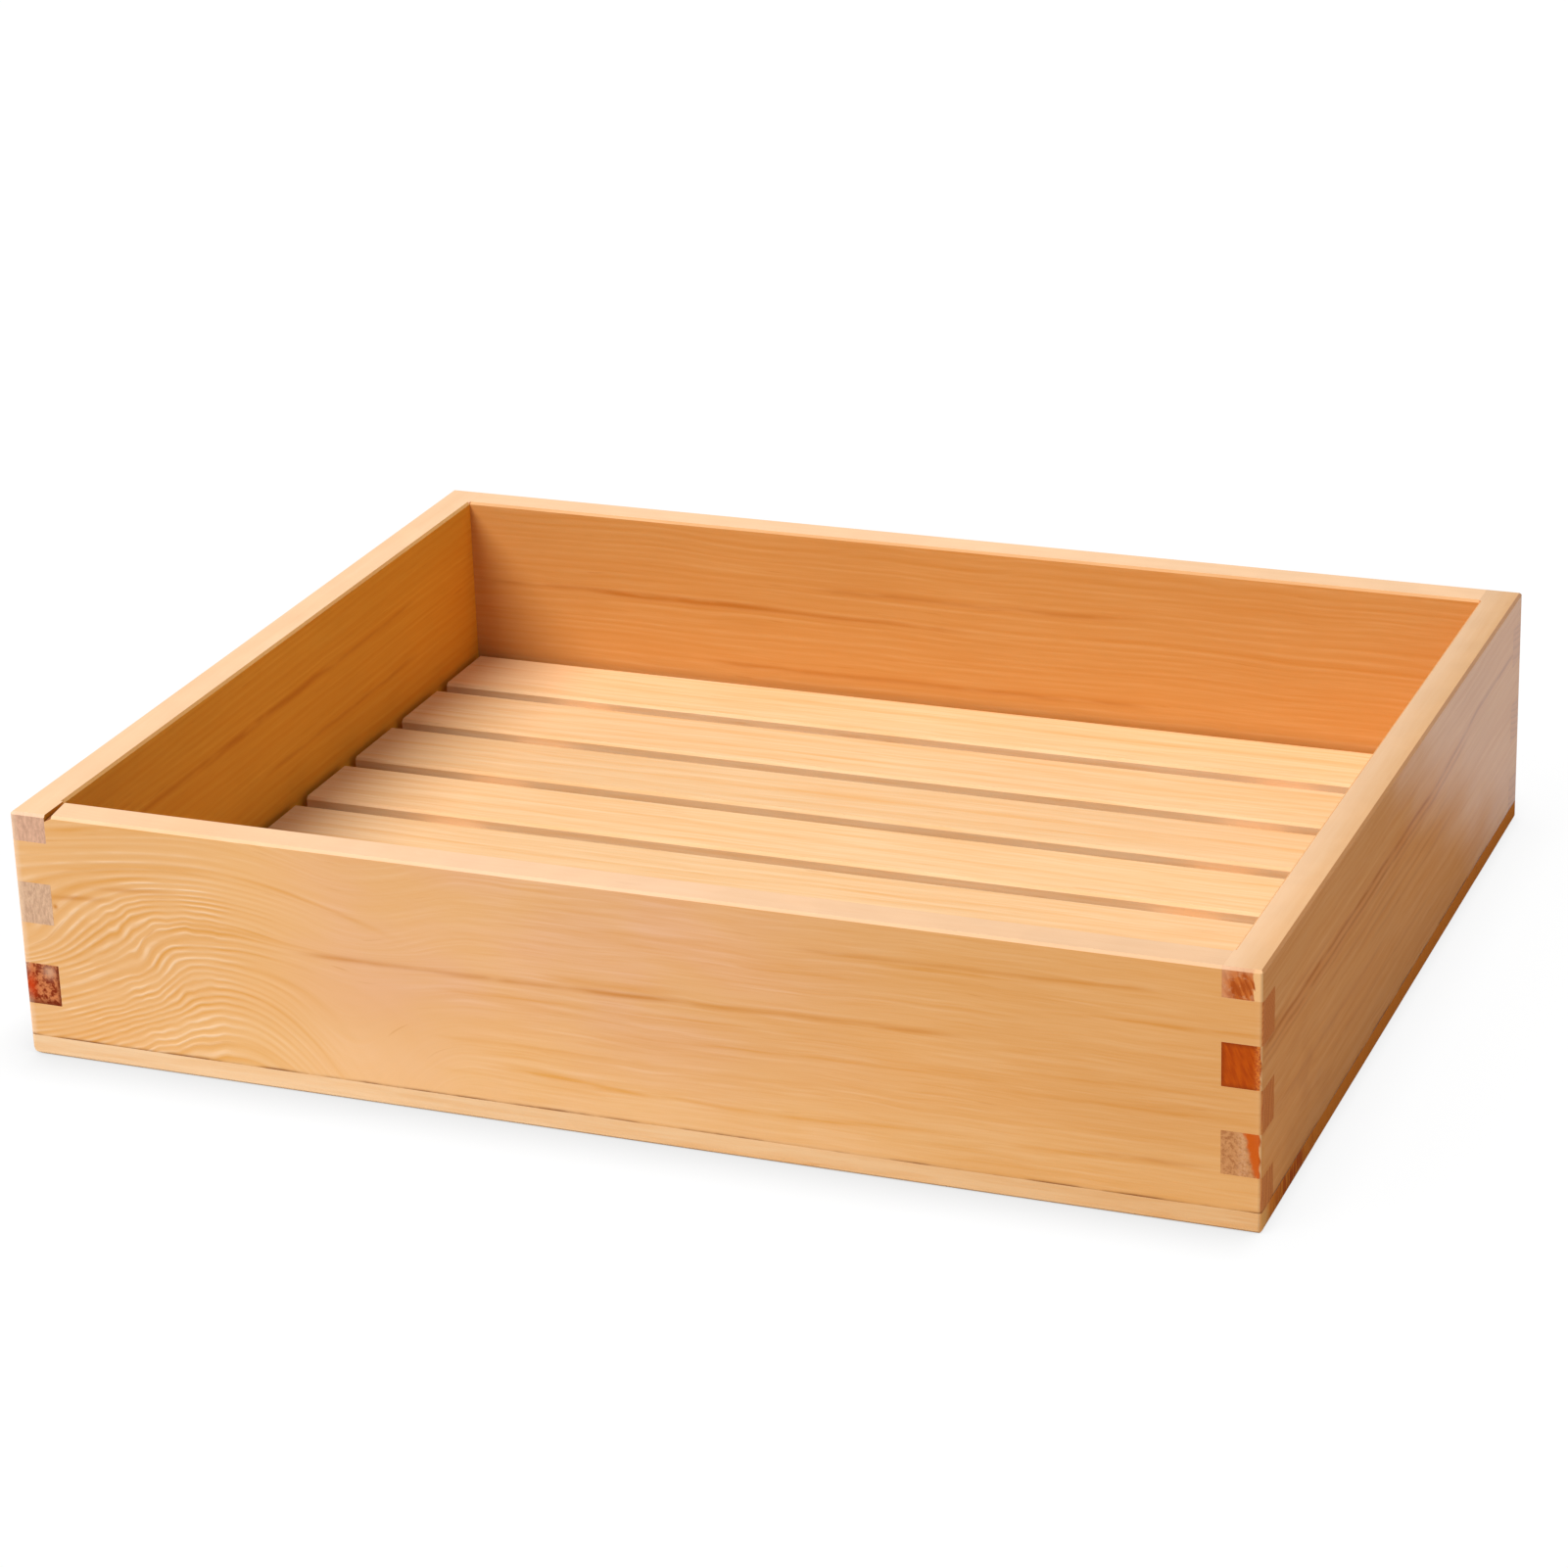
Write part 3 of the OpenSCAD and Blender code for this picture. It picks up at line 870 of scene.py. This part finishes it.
class SERVINGBOX_OT_rack_slats(bpy.types.Operator):
    """Dress the slats and the battens of the drain rack"""

    bl_idname = "servingbox.rack_slats"
    bl_label = "Rack slats and battens"

    def execute(self, context):
        woods = context.scene.serving_wood
        settings = context.scene.serving_rack
        for number, name in enumerate(SLATS):
            shade = 1.0 + 0.05 * math.sin(number * 2.1)
            colours = {"honey": tuple(channel * shade for channel in settings.honey)}
            low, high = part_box(name)
            middle = (low[1] + high[1]) / 2 / MM
            heart = (-45 - 7 * (number % 3), middle + 30 * (-1) ** number)
            grain = Grain(0, 2, 1, heart=heart, seed=20 + number, wave=1.6, colours=colours)
            material = wood(f"slat {number + 1} wood", grain, woods)
            dress(name, "drain_rack", settings.ease, material)
        colours = {"honey": settings.honey}
        for number, name in enumerate(BATTENS):
            low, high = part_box(name)
            middle = (low[0] + high[0]) / 2 / MM
            grain = Grain(1, 2, 0, heart=(-40, middle + 24), seed=40 + number, colours=colours)
            material = wood(f"batten {number + 1} wood", grain, woods)
            dress(name, "drain_rack", settings.ease, material)
        return {"FINISHED"}


class SERVINGBOX_OT_fastenings(bpy.types.Operator):
    """Finish the steel brads and the bamboo pins"""

    bl_idname = "servingbox.fastenings"
    bl_label = "Brads and pins"

    def execute(self, context):
        settings = context.scene.serving_rack
        self.paint_node("floor_brads", self.steel(settings.steel))
        self.paint_node("rack_pins", self.bamboo(settings.bamboo))
        return {"FINISHED"}

    def paint_node(self, name, material):
        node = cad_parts[name]
        node.data.materials.clear()
        node.data.materials.append(material)

    def steel(self, colour):
        shader = Shader.named("dulled steel")
        (x, y, z), _ = shader.axes()
        stain = shader.noise(x * 2, y * 2, z * 2, detail=3)
        shader.set(shader.surface, {
            "Base Color": shader.mix(stain.step(0.4, 0.7), colour, paint(120, 98, 80)),
            "Metallic": 1.0,
            "Roughness": stain * 0.3 + 0.3,
        })
        return shader.material

    def bamboo(self, colour):
        shader = Shader.named("split bamboo")
        (x, y, z), look = shader.axes()
        strand = shader.noise(x * 5, y * 5, z / 8, detail=2)
        dots = shader.noise(x * 7, y * 7, z / 20, detail=1).step(0.58, 0.64)
        shader.set(shader.surface, {
            "Base Color": shader.mix(strand * 0.5 + dots * 0.4, colour, paint(140, 96, 48)),
            "Roughness": strand * 0.3 + 0.4,
        })
        return shader.material


class SERVINGBOX_OT_stage(bpy.types.Operator):
    """Set the camera, the floor, the lamps and the sky"""

    bl_idname = "servingbox.stage"
    bl_label = "Stage"

    def execute(self, context):
        settings = context.scene.serving_stage
        self.camera(context, settings)
        self.floor(context, settings)
        self.lamps(context, settings)
        self.sky(context, settings)
        context.scene.view_settings.view_transform = "Standard"
        return {"FINISHED"}

    def camera(self, context, settings):
        """The camera stands 1.26 m from the box, 22 degrees to its right and 22 degrees up."""
        azimuth, elevation, roll = (math.radians(angle) for angle in (21.84, 22.12, -1.87))
        distance = 1.2648
        target = Vector((-0.0156, 0.0241, 0.0315))
        film_width = 36
        far = 20
        turn = (
            Matrix.Rotation(azimuth, 4, "Z")
            @ Matrix.Rotation(math.pi / 2 - elevation, 4, "X")
            @ Matrix.Rotation(roll, 4, "Z")
        )
        data = bpy.data.cameras.new("Camera")
        data.sensor_width = film_width
        data.lens = settings.lens
        data.clip_end = far
        camera = bpy.data.objects.new("Camera", data)
        camera.matrix_world = (
            Matrix.Translation(target) @ turn @ Matrix.Translation((0, 0, distance))
        )
        context.scene.collection.objects.link(camera)
        context.scene.camera = camera

    def floor(self, context, settings):
        """A wide pale floor that shows white and keeps a soft shadow, darkest close to the box."""
        mesh = bpy.data.meshes.new("floor")
        sheet = bmesh.new()
        bmesh.ops.create_grid(sheet, x_segments=1, y_segments=1, size=6)
        sheet.to_mesh(mesh)
        sheet.free()
        shader = Shader.named("white floor")
        shader.set(shader.surface, {"Base Color": (*settings.floor, 1.0), "Roughness": 0.9,
                                    "Specular IOR Level": 0.0})
        seen, shine, through = shader.rays()
        bright = shader.node("ShaderNodeEmission", {"Strength": 1.03})
        dim = shader.node("ShaderNodeEmission", {"Strength": 0.0})
        open_share = shader.node("ShaderNodeAmbientOcclusion", {"Distance": 0.018}, output=1)
        (x, _, _), _ = shader.axes()
        beside = x.step(HALF_W - 4, HALF_W + 4)
        contact = (1.0 - open_share) * (0.36 - beside * 0.24)
        glow = shader.node("ShaderNodeMixShader", {0: contact, 1: bright, 2: dim})
        blend = shader.node("ShaderNodeMixShader", {
            0: (seen + shine + through).under(1.0) * 0.95,
            1: Field(shader, shader.surface.outputs[0]),
            2: glow,
        })
        output = shader.tree.nodes["Material Output"]
        shader.tree.links.new(blend.socket, output.inputs["Surface"])
        mesh.materials.append(shader.material)
        floor = bpy.data.objects.new("floor", mesh)
        context.scene.collection.objects.link(floor)

    def lamps(self, context, settings):
        """One large soft lamp at the front left, above."""
        data = bpy.data.lights.new("key", "SUN")
        data.energy = settings.key
        data.angle = math.radians(35)
        data.color = (1.0, 0.985, 0.96)
        lamp = bpy.data.objects.new("key", data)
        toward = Vector((-0.376, -0.47, 0.80))
        lamp.rotation_euler = toward.to_track_quat("Z", "Y").to_euler()
        context.scene.collection.objects.link(lamp)

    def sky(self, context, settings):
        """Even light from all round, seen as white."""
        world = bpy.data.worlds.new("sky")
        context.scene.world = world
        shader = Shader(world)
        seen, shine, through = shader.rays()
        strength = (seen + shine * 0.6 + through).under(1.0) * (1 - settings.sky) + settings.sky
        shader.set(shader.tree.nodes["Background"], {"Color": (1, 1, 1, 1), "Strength": strength})


STEPS = (
    SERVINGBOX_OT_stage,
    SERVINGBOX_OT_front_board,
    SERVINGBOX_OT_back_board,
    SERVINGBOX_OT_side_boards,
    SERVINGBOX_OT_floor_panel,
    SERVINGBOX_OT_rack_slats,
    SERVINGBOX_OT_fastenings,
)


class SERVINGBOX_PT_panel(bpy.types.Panel):
    """Lists the steps and the settings of the serving box"""

    bl_idname = "SERVINGBOX_PT_panel"
    bl_label = "Serving box"
    bl_space_type = "VIEW_3D"
    bl_region_type = "UI"
    bl_category = "Serving box"

    def draw(self, context):
        for step in STEPS:
            self.layout.operator(step.bl_idname)
        for group in ("serving_wood", "serving_rack", "serving_stage"):
            settings = getattr(context.scene, group)
            for name in settings.__annotations__:
                self.layout.prop(settings, name)


GROUPS = {
    "serving_wood": WoodSettings,
    "serving_rack": RackSettings,
    "serving_stage": StageSettings,
}
CLASSES = (*GROUPS.values(), *STEPS, SERVINGBOX_PT_panel)


def register():
    for cls in CLASSES:
        bpy.utils.register_class(cls)
    for name, group in GROUPS.items():
        setattr(bpy.types.Scene, name, bpy.props.PointerProperty(type=group))


def unregister():
    for name in GROUPS:
        delattr(bpy.types.Scene, name)
    for cls in reversed(CLASSES):
        bpy.utils.unregister_class(cls)


def main():
    register()
    for step in STEPS:
        group, name = step.bl_idname.split(".")
        getattr(getattr(bpy.ops, group), name)()


if __name__ == "__main__":
    main()
